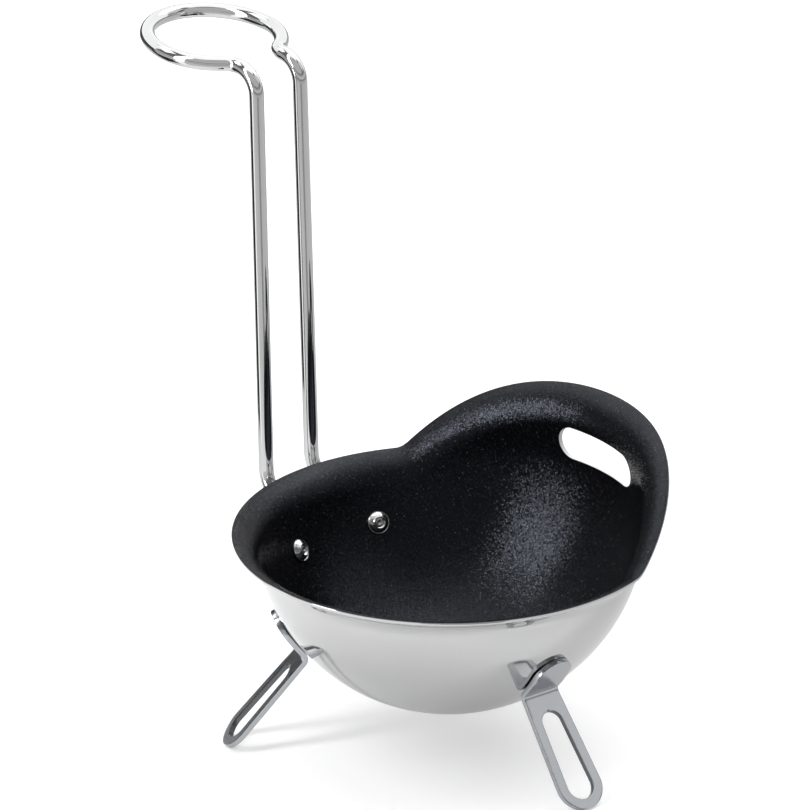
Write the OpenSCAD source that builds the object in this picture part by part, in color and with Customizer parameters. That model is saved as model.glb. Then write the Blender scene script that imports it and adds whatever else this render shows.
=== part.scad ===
// Egg poacher cup: a pressed, coated steel cup on strip legs, with a bent wire handle.
// The origin is on the cup's axis at the table, +X points to the raised shield, +Y to the handle.

/* [Cup] */
// Outside diameter of the round cup
cup_d = 91; // [80:1:100]
// How far the level lip reaches out past the cup
lip_w = 4.5; // [3.5:0.1:6]
// Height of the level lip above the table
rim_h = 50.2; // [46:0.2:62]
// How far the level lip lies below the centre of the cup's sphere
rim_drop = 4.4; // [2:0.2:8]
// Thickness of the steel sheet
sheet_t = 0.8; // [0.6:0.1:1.2]
// Thickness of the coating inside
coat_t = 0.15; // [0.1:0.05:0.3]
// Radius of the outward bend that forms the lip
flare_r = 8; // [6:0.5:9]
// How far above the sphere's centre the round that trims the edge is centred
trim_rise = 5.2; // [0:0.2:8]

/* [Shield] */
// Tilt of the raised shield's edge from level, in degrees
shield_tilt = 35.2; // [30:0.2:42]
// How far the shield's bend starts below the sphere's centre, along the tilted axis
shield_drop = 19.4; // [16:0.2:23]
// Width of the smooth run between the level lip and the shield, in degrees
blend_w = 1.5; // [1:0.5:12]
// How much broader and steeper-sided the shield is than a plain tilted edge, in degrees
shield_shoulder = 4.8; // [0:0.2:8]
// Length of the slot through the shield
shield_slot_l = 27; // [16:1:32]
// Width of the slot through the shield
shield_slot_w = 8; // [5:0.5:12]
// Height of the slot's middle above the level lip
shield_slot_h = 8; // [4:0.5:12]

/* [Legs] */
// Width of the leg strip at the foot
leg_w = 11.8; // [10.8:0.1:14]
// Width of the leg strip at the tab and the fold
leg_top_w = 9.8; // [8:0.1:10.8]
// Thickness of the leg strip
leg_t = 1.2; // [1:0.1:2]
// Angle of a leg outward from upright
leg_splay = 40; // [30:0.5:45]
// Angle below the sphere's middle at which a leg leaves the cup
leg_fold = 42; // [36:0.5:50]
// Inside radius of the leg's fold
fold_r = 1; // [0.6:0.1:2]
// Length of the tab that is welded to the cup
tab_l = 11.4; // [10:0.1:18]
// Solid strip left on both sides of the slot in a leg, and below it
leg_border = 2.4; // [1.8:0.1:3]
// Solid strip between the fold and the slot
leg_slot_top = 3.8; // [2:0.2:8]
// Depth of the small flat that each foot stands on
foot_flat = 0.25; // [0.15:0.05:0.5]
// Gap between a tab and the cup at the weld
weld_gap = 0.1; // [0.05:0.05:0.2]
// Turn of the three legs from an even layout about the shield, in degrees
leg_turn = 0.7; // [-5:0.1:5]

/* [Handle] */
// Angle round the cup from the shield to the handle, in degrees
handle_turn = 94.4; // [80:0.2:110]
// Diameter of the handle wire
wire_d = 3.5; // [3:0.1:4.5]
// Height of the wire's middle in the finger ring, above the table
grip_h = 147.8; // [110:0.2:180]
// Radius of the finger ring to the wire's middle
ring_r = 15.1; // [12:0.1:20]
// How much longer the outer half of the ring is than a true circle
ring_stretch = 1.15; // [1:0.01:1.3]
// Angle at which the ring rises outward from level, in degrees
ring_pitch = 2.9; // [0:0.1:8]
// Radius of the two reverse bends at the ring's neck
neck_r = 4.9; // [3:0.1:8]
// Distance between the two wires at the bottom
wire_gap_low = 13.9; // [10:0.1:20]
// Distance between the two wires at the top
wire_gap_top = 13.1; // [9:0.1:18]
// Gap between the level lip and the upright wires
wire_clear = 4.95; // [4:0.05:12]
// How far the wires lean away from the cup over their height
wire_lean = 3; // [0:0.5:10]
// Radius of the bend under the lip
low_bend_r = 6.8; // [4:0.2:10]
// Radius of the bend at the top
top_bend_r = 5.7; // [4:0.1:10]
// How far the wire's middle passes below the level lip
wire_drop = 4.8; // [4.4:0.1:8]

/* [Rivets] */
// Angle of each rivet from the handle's middle plane
rivet_side = 17.2; // [14:0.2:24]
// Angle of each rivet below the middle of the sphere
rivet_low = 24; // [20:0.5:30]
// Diameter of the rivet's body
rivet_d = 3; // [2.4:0.1:3.6]
// Diameter of the domed head inside the cup
rivet_head_d = 5.4; // [4.8:0.1:7]
// Height of the domed head
rivet_head_h = 1.15; // [0.8:0.05:1.6]
// Clearance round the rivet in its holes
rivet_clear = 0.05; // [0.02:0.01:0.1]
// Diameter of the flattened eye at each end of the wire
eye_d = 7; // [6:0.1:9]
// Thickness of the flattened eye
eye_t = 1.7; // [1.4:0.1:2.2]

/* [Hidden] */
big = 200;

// The level lip's own size, the cup's sphere, and the circle on which the lip's bend is centred
rim_d = cup_d + 2 * lip_w;
cup_z = rim_h + rim_drop;
mid_r = cup_d / 2 - sheet_t / 2;
flare_c = mid_r + flare_r;
trim_r = norm([rim_d / 2, rim_drop + trim_rise]);
edge_r = norm([rim_d / 2, rim_drop]);
edge_lag = acos((edge_r * edge_r + flare_c * flare_c - flare_r * flare_r) / (2 * edge_r * flare_c));
lip_a = 90 + atan2(rim_drop, rim_d / 2) + edge_lag;
shield_a = 90 + asin(shield_drop / mid_r);

// Counts of facets in the pressed sheet: round it, up the sphere and over the bend
round_n = 72;
sphere_n = 11;
bend_n = 6;

function unit(v) = v / norm(v);
function lerp(a, b, t) = a + (b - a) * t;
function smooth(t) = let (c = min(1, max(0, t))) c * c * (3 - 2 * c);
// Smaller of two angles with the corner between them rounded over the width w
function soft_min(a, b, w) = min(a, b) - pow(max(w - abs(a - b), 0), 2) / (4 * w);

// Azimuth at which a plain tilted edge has the height that the shield has at azimuth f
function shoulder(f) = let (g = f > 180 ? f - 360 : f) abs(g) < 120 ? g - shield_shoulder * sin(3 * g) : g;
// Polar angle of the sheet at azimuth f, where the surface has gone a lag past the start of its bend
function lip_polar(lag) = lip_a - lag;
function shield_polar(f, lag) =
  let (a = cos(shield_tilt), b = -sin(shield_tilt) * cos(shoulder(f)), c = cos(shield_a - lag) / norm([a, b]))
  atan2(b, a) + acos(max(-1, c));
function sheet_polar(f, lag) = soft_min(lip_polar(lag), shield_polar(f, lag), blend_w);

// Distance from the centre, and lag, after the bend has turned through t; r is the surface's own radius
function bend_reach(r, t) = let (q = flare_c - r) norm([flare_c - q * cos(t), q * sin(t)]);
function bend_lag(r, t) = let (q = flare_c - r) atan2(q * sin(t), flare_c - q * cos(t));
// Turn at which the surface of radius r meets the round that trims the edge
function trim_turn(r, f, t, n) =
  n == 0 ? t :
  let (
    a = sheet_polar(f, bend_lag(r, t)),
    s = trim_rise * cos(a) + sqrt(trim_r * trim_r - pow(trim_rise * sin(a), 2)),
    q = flare_c - r
  )
  trim_turn(r, f, acos((flare_c * flare_c + q * q - s * s) / (2 * flare_c * q)), n - 1);
function polar_point(d, a, f) = [d * sin(a) * cos(f), d * sin(a) * sin(f), d * cos(a)];
// One ring of a skin: k counts up the sphere and then over the bend
function ring_point(r, k, f) =
  k <= sphere_n
  ? let (s = k / sphere_n) polar_point(r, lerp(180, sheet_polar(f, 0), s), f)
  : let (t = trim_turn(r, f, 60, 5) * (k - sphere_n) / bend_n)
    polar_point(bend_reach(r, t), sheet_polar(f, bend_lag(r, t)), f);
rings = sphere_n + bend_n;
function skin(r) = [for (k = [1:rings]) for (j = [0:round_n - 1]) ring_point(r, k, 360 * j / round_n)];

// The pressed sheet between two offsets from its middle surface, closed at the trimmed edge
module pressed(out, in) {
  ro = mid_r + out;
  ri = mid_r - in;
  n = round_n;
  m = rings * n;
  points = concat(skin(ro), skin(ri), [[0, 0, -ro], [0, 0, -ri]]);
  walls = [
    for (k = [0:rings - 2]) for (j = [0:n - 1])
      let (a = k * n + j, b = k * n + (j + 1) % n)
        each [
          [a, a + n, b],
          [b, a + n, b + n],
          [m + a, m + b, m + a + n],
          [m + b, m + b + n, m + a + n]
        ]
  ];
  bottoms = [
    for (j = [0:n - 1])
      let (b = (j + 1) % n)
        each [[2 * m, j, b], [2 * m + 1, m + b, m + j]]
  ];
  edge = [
    for (j = [0:n - 1])
      let (a = m - n + j, b = m - n + (j + 1) % n)
        each [[a, m + a, b], [b, m + a, m + b]]
  ];
  polyhedron(points = points, faces = concat(walls, bottoms, edge), convexity = 6);
}

// Turns +Z outward from the sphere's centre to azimuth az, low degrees below level
module outward(az, low) {
  translate([0, 0, cup_z]) rotate([0, 90 + low, az]) children();
}
hole_r = rivet_d / 2 + rivet_clear;

// Holes for both rivets, through sheet, coating and wire
module rivet_holes() {
  for (s = [-1, 1]) outward(handle_turn + s * rivet_side, rivet_low) translate([0, 0, cup_d / 2 - 4])
    cylinder(h = 9, r = hole_r, $fn = 48);
}
// A flat outline with round ends along X, standing on Z
module obround(l, w, h) {
  linear_extrude(height = h) union() {
    square([l - w, w], center = true);
    for (s = [-1, 1]) translate([s * (l - w) / 2, 0]) circle(d = w, $fn = 64);
  }
}
module shield_slot() {
  translate([cup_d / 2 - 14, 0, rim_h + shield_slot_h]) rotate([90, 0, 90])
    obround(shield_slot_l, shield_slot_w, 28);
}

module bowl() {
  color("silver") difference() {
    translate([0, 0, cup_z]) pressed(sheet_t / 2, sheet_t / 2);
    shield_slot();
    rivet_holes();
  }
}
module nonstick_lining() {
  color([0.09, 0.1, 0.12]) difference() {
    translate([0, 0, cup_z]) pressed(-sheet_t / 2, sheet_t / 2 + coat_t);
    shield_slot();
    rivet_holes();
  }
}

// The wire's run on the right-hand side, from its eye to the middle of the ring. The knee is where it
// leaves the cup: at a share of the rivet's angles, a little off the steel.
wire_r = wire_d / 2;
eye_gap = 0.1;
knee_side = 0.62;
knee_low = 0.66;
knee_gap = 0.5;
knee_r = 4;
wire_y = rim_d / 2 + wire_clear + wire_r;
low_z = rim_h - wire_drop;
centre = [0, 0, cup_z];
function aim(side, low) = [cos(low) * sin(side), cos(low) * cos(side), -sin(low)];
eye_c = centre + aim(rivet_side, rivet_low) * (cup_d / 2 + eye_gap + eye_t / 2);
knee = centre + aim(rivet_side * knee_side, rivet_low * knee_low) * (cup_d / 2 + wire_r + knee_gap);
low_corner = [wire_gap_low / 2, wire_y, low_z];
top_corner = [wire_gap_top / 2, wire_y + wire_lean, grip_h];
eye_n = aim(rivet_side, rivet_low);
eye_up = unit((knee - eye_c) - eye_n * ((knee - eye_c) * eye_n));

// Points on the round at corner b, between a and c, with radius r
function corner(a, b, c, r, n) =
  let (
    u = unit(b - a),
    v = unit(c - b),
    t = acos(u * v),
    s = unit(v - u * (u * v)),
    o = b - u * r * tan(t / 2) + s * r
  )
  [for (i = [0:n]) let (q = t * i / n) o - s * r * cos(q) + u * r * sin(q)];

loop_dir = [0, cos(ring_pitch), sin(ring_pitch)];
top_run = corner(low_corner, top_corner, top_corner + loop_dir * 30, top_bend_r, 6);
loop_start = top_run[6];
function loop_point(x, t) = [x, loop_start.y, loop_start.z] + loop_dir * t;
neck_t = 0.3;
neck_x = wire_gap_top / 2 + neck_r;
ring_t = neck_t + sqrt(pow(ring_r + neck_r, 2) - pow(neck_x, 2));
neck_a = atan2(neck_t - ring_t, neck_x);
ring_steps = 12;
// Places of the sections through an eye, in eye radii from its middle
eye_steps = [-0.985, -0.9, -0.7, -0.4, 0, 0.4, 0.8, 1.15];
eye_n_steps = len(eye_steps);
wire_run = concat(
  [for (s = eye_steps) eye_c + eye_up * s * eye_d / 2],
  corner(eye_c + eye_up * eye_steps[eye_n_steps - 1] * eye_d / 2, knee, low_corner, knee_r, 4),
  corner(knee, low_corner, top_corner, low_bend_r, 8),
  top_run,
  [
    for (i = [1:5])
      let (a = lerp(180, 180 + neck_a, i / 5))
        loop_point(neck_x + neck_r * cos(a), neck_t + neck_r * sin(a))
  ],
  [
    for (i = [1:ring_steps])
      let (a = lerp(neck_a, 90, i / ring_steps))
        loop_point(ring_r * cos(a), ring_t + (a > 0 ? ring_stretch : 1) * ring_r * sin(a))
  ]
);
run_n = len(wire_run);
// Direction of the run at each point, and a side direction carried along it
function run_dir(i) =
  i == 0 ? unit(wire_run[1] - wire_run[0]) :
  i == run_n - 1 ? [-1, 0, 0] :
  unit(unit(wire_run[i + 1] - wire_run[i]) + unit(wire_run[i] - wire_run[i - 1]));
run_side = [
  for (i = 0, v = eye_n; i < run_n; i = i + 1, v = i < run_n ? unit(v - run_dir(i) * (v * run_dir(i))) : v) v
];
// How far the wire has come from flat eye to round: 0 in the eye's outer half, 1 in the round wire
eye_half = 5;
press_start = eye_d * 0.35;
press_run = eye_d * 0.75;
waist = 0.86;
function rounded(i) = i < eye_half ? 0 : smooth((norm(wire_run[i] - eye_c) - press_start) / press_run);
function half_width(i) =
  i < eye_half
  ? eye_d / 2 * sqrt(1 - pow(eye_steps[i], 2))
  : lerp(eye_d / 2 * (i < eye_n_steps ? 1 - 0.12 * pow(eye_steps[i], 2) : waist), wire_r, rounded(i));
function half_depth(i) = i < 2 ? eye_t / 2 * lerp(0.75, 1, i) : lerp(eye_t / 2, wire_r, rounded(i));
wire_sides = 16;
// A section is a rounded block in the eye and a circle in the round wire
function squared(c, p) = sign(c) * pow(abs(c), p);
function section(i) =
  let (
    n = run_side[i],
    b = cross(run_dir(i), n),
    p = lerp(0.45, 1, rounded(i)),
    h = half_depth(i),
    w = max(0.3, half_width(i))
  )
  [
    for (j = [0:wire_sides - 1])
      let (t = 360 * j / wire_sides)
        wire_run[i] + n * h * squared(cos(t), p) + b * w * squared(sin(t), p)
  ];
right_sections = [for (i = [0:run_n - 1]) section(i)];
function flip(pts) = [for (p = pts) [-p.x, p.y, p.z]];
sections = concat(right_sections, [for (i = [run_n - 2:-1:0]) flip(right_sections[i])]);

module wire_handle() {
  k = wire_sides;
  m = len(sections);
  walls = [
    for (i = [0:m - 2]) for (j = [0:k - 1])
      let (a = i * k + j, b = i * k + (j + 1) % k)
        each [[a, a + k, b], [b, a + k, b + k]]
  ];
  ends = [[for (j = [0:k - 1]) j], [for (j = [k - 1:-1:0]) (m - 1) * k + j]];
  color([0.78, 0.79, 0.8]) difference() {
    rotate([0, 0, handle_turn - 90])
      polyhedron(points = [for (s = sections) each s], faces = concat(walls, ends), convexity = 10);
    rivet_holes();
  }
}

// Blind rivets: a tubular body with a domed head inside the cup, and the pin that set it
coat_r = mid_r - sheet_t / 2 - coat_t;
seat_z = sqrt(pow(coat_r, 2) - pow(rivet_head_d / 2, 2)) - 0.16;
head_z = seat_z - rivet_head_h;
pin_r = rivet_d * 0.29;
pin_hole_r = pin_r + 0.03;
eye_top = cup_d / 2 + eye_gap + eye_t;
bulb_r = rivet_d * 0.76;
bulb_h = rivet_d * 0.8;
dome_r = (pow(rivet_head_d / 2, 2) + pow(rivet_head_h, 2)) / (2 * rivet_head_h);

module rivet_body() {
  difference() {
    union() {
      // Domed head
      intersection() {
        translate([0, 0, head_z + dome_r]) sphere(r = dome_r, $fn = 96);
        translate([0, 0, head_z - 1]) cylinder(h = rivet_head_h + 1, r = rivet_head_d / 2, $fn = 96);
      }
      // Shank through the wall and the eye
      translate([0, 0, seat_z - 0.2]) cylinder(h = eye_top - seat_z + 0.3, r = rivet_d / 2, $fn = 64);
      // Bulb that the pin pulled up on the far side
      translate([0, 0, eye_top + 0.05]) rotate_extrude($fn = 64) polygon([
        [0, 0],
        [bulb_r * 0.8, 0],
        [bulb_r, bulb_h * 0.25],
        [bulb_r * 0.96, bulb_h * 0.6],
        [rivet_d / 2, bulb_h],
        [0, bulb_h]
      ]);
    }
    translate([0, 0, head_z - 1]) cylinder(h = 20, r = pin_hole_r, $fn = 48);
    translate([0, 0, head_z - 0.01]) cylinder(h = 0.45, r1 = rivet_d * 0.46, r2 = pin_hole_r, $fn = 48);
  }
}
module rivet_pin() {
  tail = eye_top + 0.05 + bulb_h + 0.03;
  difference() {
    union() {
      translate([0, 0, head_z + 0.1]) cylinder(h = tail - head_z, r = pin_r, $fn = 48);
      translate([0, 0, tail]) cylinder(h = rivet_d * 0.35, r1 = rivet_d * 0.5, r2 = rivet_d * 0.36, $fn = 48);
    }
    // Dimple where the pin broke off
    translate([0, 0, head_z + 0.09]) cylinder(h = 0.3, r1 = pin_r * 0.55, r2 = pin_r * 0.15, $fn = 32);
  }
}
module rivet_left() {
  color("gainsboro") outward(handle_turn + rivet_side, rivet_low) rivet_body();
}
module rivet_right() {
  color("gainsboro") outward(handle_turn - rivet_side, rivet_low) rivet_body();
}
module rivet_pin_left() {
  color("darkgray") outward(handle_turn + rivet_side, rivet_low) rivet_pin();
}
module rivet_pin_right() {
  color("darkgray") outward(handle_turn - rivet_side, rivet_low) rivet_pin();
}

// Leg: side profile in the plane through the cup's axis, then cut to its outline
tab_r = cup_d / 2 + weld_gap;
bend_mid = fold_r + leg_t / 2;
tab_a = tab_l / (tab_r + leg_t / 2) * 180 / PI;
fold_dir = [cos(leg_fold), -sin(leg_fold)];
bend_c = [0, cup_z] + fold_dir * (tab_r + leg_t + fold_r);
bend_a = leg_fold + leg_splay;
leg_dir = [sin(leg_splay), -cos(leg_splay)];
leg_in = [-cos(leg_splay), -sin(leg_splay)];
leg_start = bend_c + leg_in * bend_mid;
leg_l = (leg_start.y + leg_in.y * leg_t / 2 + foot_flat) / cos(leg_splay);

// The strip's taper: its foot circle, the angle of its sides, and the circle at the top of the slot
foot_r = leg_w / 2;
foot_c = leg_l - foot_r;
side_a = asin(foot_r / norm([foot_c, leg_top_w / 2])) - atan2(leg_top_w / 2, foot_c);
slot_top_r = (leg_slot_top * sin(side_a) + leg_top_w / 2 * cos(side_a) - leg_border) / (1 - sin(side_a));
slot_foot_r = foot_r - leg_border;

function arc(c, r, a, b, n) = [for (i = [0:n]) let (t = lerp(a, b, i / n)) c + r * [cos(t), sin(t)]];
leg_profile = concat(
  arc([0, cup_z], tab_r, -leg_fold + tab_a, -leg_fold, 8),
  arc(bend_c, fold_r + leg_t, 180 - leg_fold, 180 - leg_fold + bend_a, 8),
  [for (s = [1, -1]) leg_start + s * leg_in * leg_t / 2 + leg_dir * (leg_l + 1)],
  arc(bend_c, fold_r, 180 - leg_fold + bend_a, 180 - leg_fold, 6),
  arc([0, cup_z], tab_r + leg_t, -leg_fold, -leg_fold + tab_a, 8)
);
// What is left over outside a round end of a strip of width w, whose tip is at the origin and points to +X
module end_waste(w) {
  r = w / 2 + 0.05;
  difference() {
    translate([0.3 - r, -w]) square([w, 2 * w]);
    translate([-r, 0]) circle(r = r, $fn = 96);
  }
}
// Where a straight side meets a round end of radius r about x: a hair inside it, so that the two cross
function side_point(x, r) = [x, 0] + (r - 0.01) * [-sin(side_a), cos(side_a)];
// Flat outline of the strip along X: even at the tab and the fold, then wider down to the round foot
module strip_outline() {
  w = leg_top_w / 2;
  low = side_point(foot_c, foot_r);
  polygon([[-2 * tab_l, -w], [0, -w], [low.x, -low.y], low, [0, w], [-2 * tab_l, w]]);
  translate([foot_c, 0]) circle(r = foot_r, $fn = 96);
}
// The slot follows the strip's sides at the border's distance
module leg_slot() {
  top_c = leg_slot_top + slot_top_r;
  high = side_point(top_c, slot_top_r);
  low = side_point(foot_c, slot_foot_r);
  polygon([[high.x, -high.y], [low.x, -low.y], low, high]);
  translate([top_c, 0]) circle(r = slot_top_r, $fn = 64);
  translate([foot_c, 0]) circle(r = slot_foot_r, $fn = 64);
}
// Turns the flat outline's plane into the plane of the leg's straight part
module along_leg() {
  translate([leg_start.x, 0, leg_start.y]) rotate([0, 90 - leg_splay, 0]) children();
}
module leg(az) {
  rotate([0, 0, az + leg_turn]) difference() {
    intersection() {
      translate([0, leg_w, 0]) rotate([90, 0, 0]) linear_extrude(height = 2 * leg_w) polygon(leg_profile);
      along_leg() translate([0, 0, -2 * tab_l]) linear_extrude(height = 4 * tab_l) strip_outline();
    }
    // Round end of the tab
    translate([0, 0, cup_z]) rotate([0, leg_fold - tab_a, 0]) translate([tab_r - 2, 0, 0]) rotate([0, 90, 0])
      linear_extrude(height = leg_t + 4) rotate(180) end_waste(leg_top_w);
    along_leg() translate([0, 0, -leg_t]) linear_extrude(height = 2 * leg_t) leg_slot();
    // Flat that stands on the table
    translate([0, -big / 2, -big]) cube([big, big, big]);
  }
}
module leg_front() {
  color("lightgray") leg(270);
}
module leg_left() {
  color("lightgray") leg(150);
}
module leg_right() {
  color("lightgray") leg(30);
}

bowl();
nonstick_lining();
wire_handle();
rivet_left();
rivet_right();
rivet_pin_left();
rivet_pin_right();
leg_front();
leg_left();
leg_right();
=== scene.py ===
# Egg poaching cup: polished pressed steel, charcoal coating, bent wire handle and strip legs.
# Sizes are in millimetres and angles in degrees, and become metres and radians where they are used.
# Lamps, cards and the floor are given in metres, their azimuths from the photograph's right.
import math

import bmesh
import bpy
from mathutils import Matrix, Vector


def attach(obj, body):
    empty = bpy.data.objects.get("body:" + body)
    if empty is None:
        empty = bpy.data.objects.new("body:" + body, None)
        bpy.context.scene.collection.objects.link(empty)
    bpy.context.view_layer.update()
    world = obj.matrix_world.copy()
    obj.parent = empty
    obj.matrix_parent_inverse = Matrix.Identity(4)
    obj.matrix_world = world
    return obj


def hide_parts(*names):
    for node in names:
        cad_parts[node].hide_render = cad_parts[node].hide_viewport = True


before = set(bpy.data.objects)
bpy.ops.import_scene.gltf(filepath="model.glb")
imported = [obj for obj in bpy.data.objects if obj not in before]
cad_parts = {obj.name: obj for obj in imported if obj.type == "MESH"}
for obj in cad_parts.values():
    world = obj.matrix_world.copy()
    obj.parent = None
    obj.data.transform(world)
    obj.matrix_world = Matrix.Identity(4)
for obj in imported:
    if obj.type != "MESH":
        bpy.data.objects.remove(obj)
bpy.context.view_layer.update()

MM = 0.001
DEG = math.pi / 180

# The cup, its lip and its shield
CUP_R = 45.5
SHEET_T = 0.8
COAT_T = 0.15
MID_R = CUP_R - SHEET_T / 2
FLARE_R = 8.0
RIM_R = 50.0
RIM_H = 50.2
RIM_DROP = 4.4
CUP_Z = RIM_H + RIM_DROP
TRIM_RISE = 5.2
SHIELD_TILT = 35.2
SHIELD_DROP = 19.4
SHIELD_BLEND = 1.5
SHIELD_SHOULDER = 4.8
SHOULDER_REACH = 120.0
STEEL_EDGE_ROUND = 0.22
COAT_EDGE_ROUND = 0.10
COAT_EDGE_BACK = 0.12
# The slot in the shield, and the bar that cuts it: its two ends' distances from the cup's axis
SLOT_L = 27.0
SLOT_W = 8.0
SLOT_H = 8.0
SLOT_BAR_ENDS = (30.0, 60.0)
# The cup's grid: points around it, spans along its section, and how many of those make one skin
AROUND_POINTS = 288
SECTION_SPANS = 220
SKIN_SPANS = 106
# The part of a skin's spans that lies on the plain sphere, before the sheet bends outward
SPHERE_PART = 0.6
# First guess of how far the sheet turns up to its trimmed edge, and the rounds that settle it
TURN_GUESS = 60.0
TURN_ROUNDS = 5

# The handle's wire
WIRE_D = 3.5
WIRE_R = WIRE_D / 2
HANDLE_TURN = 94.4
GRIP_H = 147.8
RING_R = 15.1
RING_STRETCH = 1.15
RING_PITCH = 2.9
NECK_R = 4.9
NECK_RUN = 0.3
GAP_LOW = 13.9
GAP_TOP = 13.1
WIRE_CLEAR = 4.95
WIRE_LEAN = 3.0
LOW_BEND_R = 6.8
TOP_BEND_R = 5.7
EYE_BEND_R = 4
WIRE_DROP = 4.8
# The bend between eye and upright: its angles as parts of the rivet's, and its gap to the cup
KNEE_SIDE = 0.62
KNEE_LOW = 0.66
KNEE_GAP = 0.5
# The pressed eye, then lengths in eye radii: the straight run past the rivet, the pressed run, and
# the run in which the tip would gain its whole thickness
EYE_D = 7.0
EYE_T = 1.7
EYE_GAP = 0.1
EYE_RUN = 1.15
EYE_PRESSED = 1.7
EYE_TIP = 0.12
# How thick the tip's end is against the eye, and how much narrower the eye's waist is
EYE_TIP_T = 0.55
EYE_WAIST = 0.14
# The run over which the pressed wire becomes round again
PRESS_RUN = EYE_D * 0.75

# The rivets: a domed head, a shank, a bulb on the far side, and the pin that drew the bulb
RIVET_SIDE = 17.2
RIVET_LOW = 24.0
RIVET_D = 3.0
HEAD_D = 5.4
HEAD_H = 1.15
HEAD_ROUND = 0.14
HEAD_CLEAR = 0.16
HOLE_CLEAR = 0.05
COAT_R = MID_R - SHEET_T / 2 - COAT_T
SEAT_Z = math.sqrt(COAT_R ** 2 - (HEAD_D / 2) ** 2) - HEAD_CLEAR
FACE_Z = SEAT_Z - HEAD_H
SINK_R = RIVET_D * 0.46
PIN_R = RIVET_D * 0.29
PIN_CLEAR = 0.03
BULB_R = RIVET_D * 0.76
BULB_H = RIVET_D * 0.8
BULB_CLEAR = 0.05
BULB_Z = CUP_R + EYE_GAP + EYE_T + BULB_CLEAR
TAIL_H = RIVET_D * 0.35
# The bar that cuts a rivet's hole: its length, its middle's distance from the cup's centre, its sides
HOLE_BAR_L = 9
HOLE_BAR_AT = CUP_R + 0.5
HOLE_BAR_SIDES = 64

# The legs: their strip, and how its middle surface runs through the fold
LEG_W = 11.8
LEG_TOP_W = 9.8
LEG_T = 1.2
LEG_SPLAY = 40.0
LEG_FOLD = 42.0
FOLD_R = 1.0
TAB_L = 11.4
LEG_BORDER = 2.4
LEG_SLOT_TOP = 3.8
LEG_EDGE_ROUND = 0.16
FOOT_FLAT = 0.25
WELD_GAP = 0.1
LEG_FIRST = 30.7
LEG_COUNT = 3
TAB_MID_R = CUP_R + WELD_GAP + LEG_T / 2
FOLD_MID_R = FOLD_R + LEG_T / 2
FOLD_L = (LEG_FOLD + LEG_SPLAY) * DEG * FOLD_MID_R
# Columns of faces on the strip: over a circle at its ends and at its slot's ends, then along the tab,
# the fold, the stretch down to the slot and the slot's straight sides
END_SPANS = 36
SLOT_END_SPANS = 32
TAB_SPANS = 10
FOLD_SPANS = 12
WEB_SPANS = 6
SLOT_SPANS = 16
# Bands of faces from the strip's middle, or its slot's edge, to each side
SIDE_BANDS = 5

# Points closer than these in metres are one: on a finished piece, on the cup's grid, on a leg's strip
SAME_POINT = 1e-7
SAME_ON_CUP = 2e-6
SAME_ON_LEG = 5e-6
# An edge shorter than this in metres is none
NO_EDGE = 1e-8

# The coating's two blended colours, and the range of its roughness
COATING_COLOURS = ((0.0026, 0.0030, 0.0036), (0.0048, 0.0050, 0.0056))
COATING_ROUGHNESS = (0.09, 0.16)
# Its flakes: cells a metre, and how far one leans as a part of its normal's length
FLAKES = 7800.0
FLAKE_TILT = 0.36
# Its pale flecks: cells a metre, the part of the cells that hold one, and their colour
FLECKS = (
    (2600.0, 0.022, (0.075, 0.080, 0.085)),
    (3900.0, 0.16, (0.030, 0.032, 0.034)),
)
# A fleck is whole up to the first distance from its cell's middle, and gone at the second
FLECK_EDGE = (0.25, 0.45)
# The slot's walls are darker: partly their duller sheared finish, partly painted shade inside the slot
SLOT_WALL_FINISH_AND_SHADE = (0.17, 0.175, 0.185)

# Brightness of the room: as it lights matt surfaces, and of its walls and ceiling in reflections
ROOM_LIGHT = 0.42
WALL_LIGHT = 0.7
CEILING_LIGHT = 0.18
# Where walls turn into ceiling: the sine of the lowest such direction, and over how much it goes on
CEILING_FROM = 0.05
CEILING_FADE = 0.30
# The floor's grey, its glow to the camera, and its glow in reflections
FLOOR_GREY = 0.80
FLOOR_GLOW = 0.34
MIRRORED_GLOW = 0.11
# Painted light in reflections only: the floor is painted bright in a pool to the left of the axis, and
# dimmed to this much of it beyond
FAR_FLOOR_PAINTED_DIM = 0.62
POOL_LEFT = 0.06
POOL_R = 0.07
POOL_EDGE = 0.12
FLOOR_HALF = 6.0

# The soft boxes' distance, the point they face, and for each: azimuth, rise, width, height, radiance
LAMP_FAR = 1.2
LAMP_AIM = (0, 0, 0.06)
LAMPS = (
    ("strip_lamp", -155, 36, 0.24, 1.3, 9.0),
    ("top_lamp", 90, 84, 1.0, 1.0, 1.4),
    ("back_lamp", 80, 46, 1.5, 0.7, 1.7),
    ("right_lamp", 0, 42, 0.7, 0.7, 0.7),
    ("back_right_lamp", 42, 52, 0.7, 0.7, 1.8),
)
# Cards stand round the cup's axis or the upright wires, which are points in millimetres; for each:
# first and last azimuth, distance, lower and upper edge, radiance
CUP_FOOT = (0, 0)
WIRE_FOOT = (-4.5, 57.0)
CARD_SPANS = 24
CARDS = (
    ("strip_card", CUP_FOOT, -160, -147, 0.6, 0.05, 1.2, 12.5),
    ("left_back_card", CUP_FOOT, 135, 174, 0.7, 0.58, 1.1, 2.2),
    ("dark_flag", WIRE_FOOT, 150, 192, 0.15, 0.0, 0.105, 0.03),
    ("white_card", WIRE_FOOT, 195, 212, 0.15, 0.0, 0.105, 1.5),
    ("grey_flag", WIRE_FOOT, -84, -60, 0.15, 0.0, 0.105, 0.38),
    ("back_flag", CUP_FOOT, 95, 160, 0.45, 0.0, 0.22, 0.08),
    ("ring_card", WIRE_FOOT, 20, 165, 0.12, 0.155, 0.235, 1.4),
    ("ring_hood", WIRE_FOOT, -150, -30, 0.12, 0.185, 0.40, 0.62),
)

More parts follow.
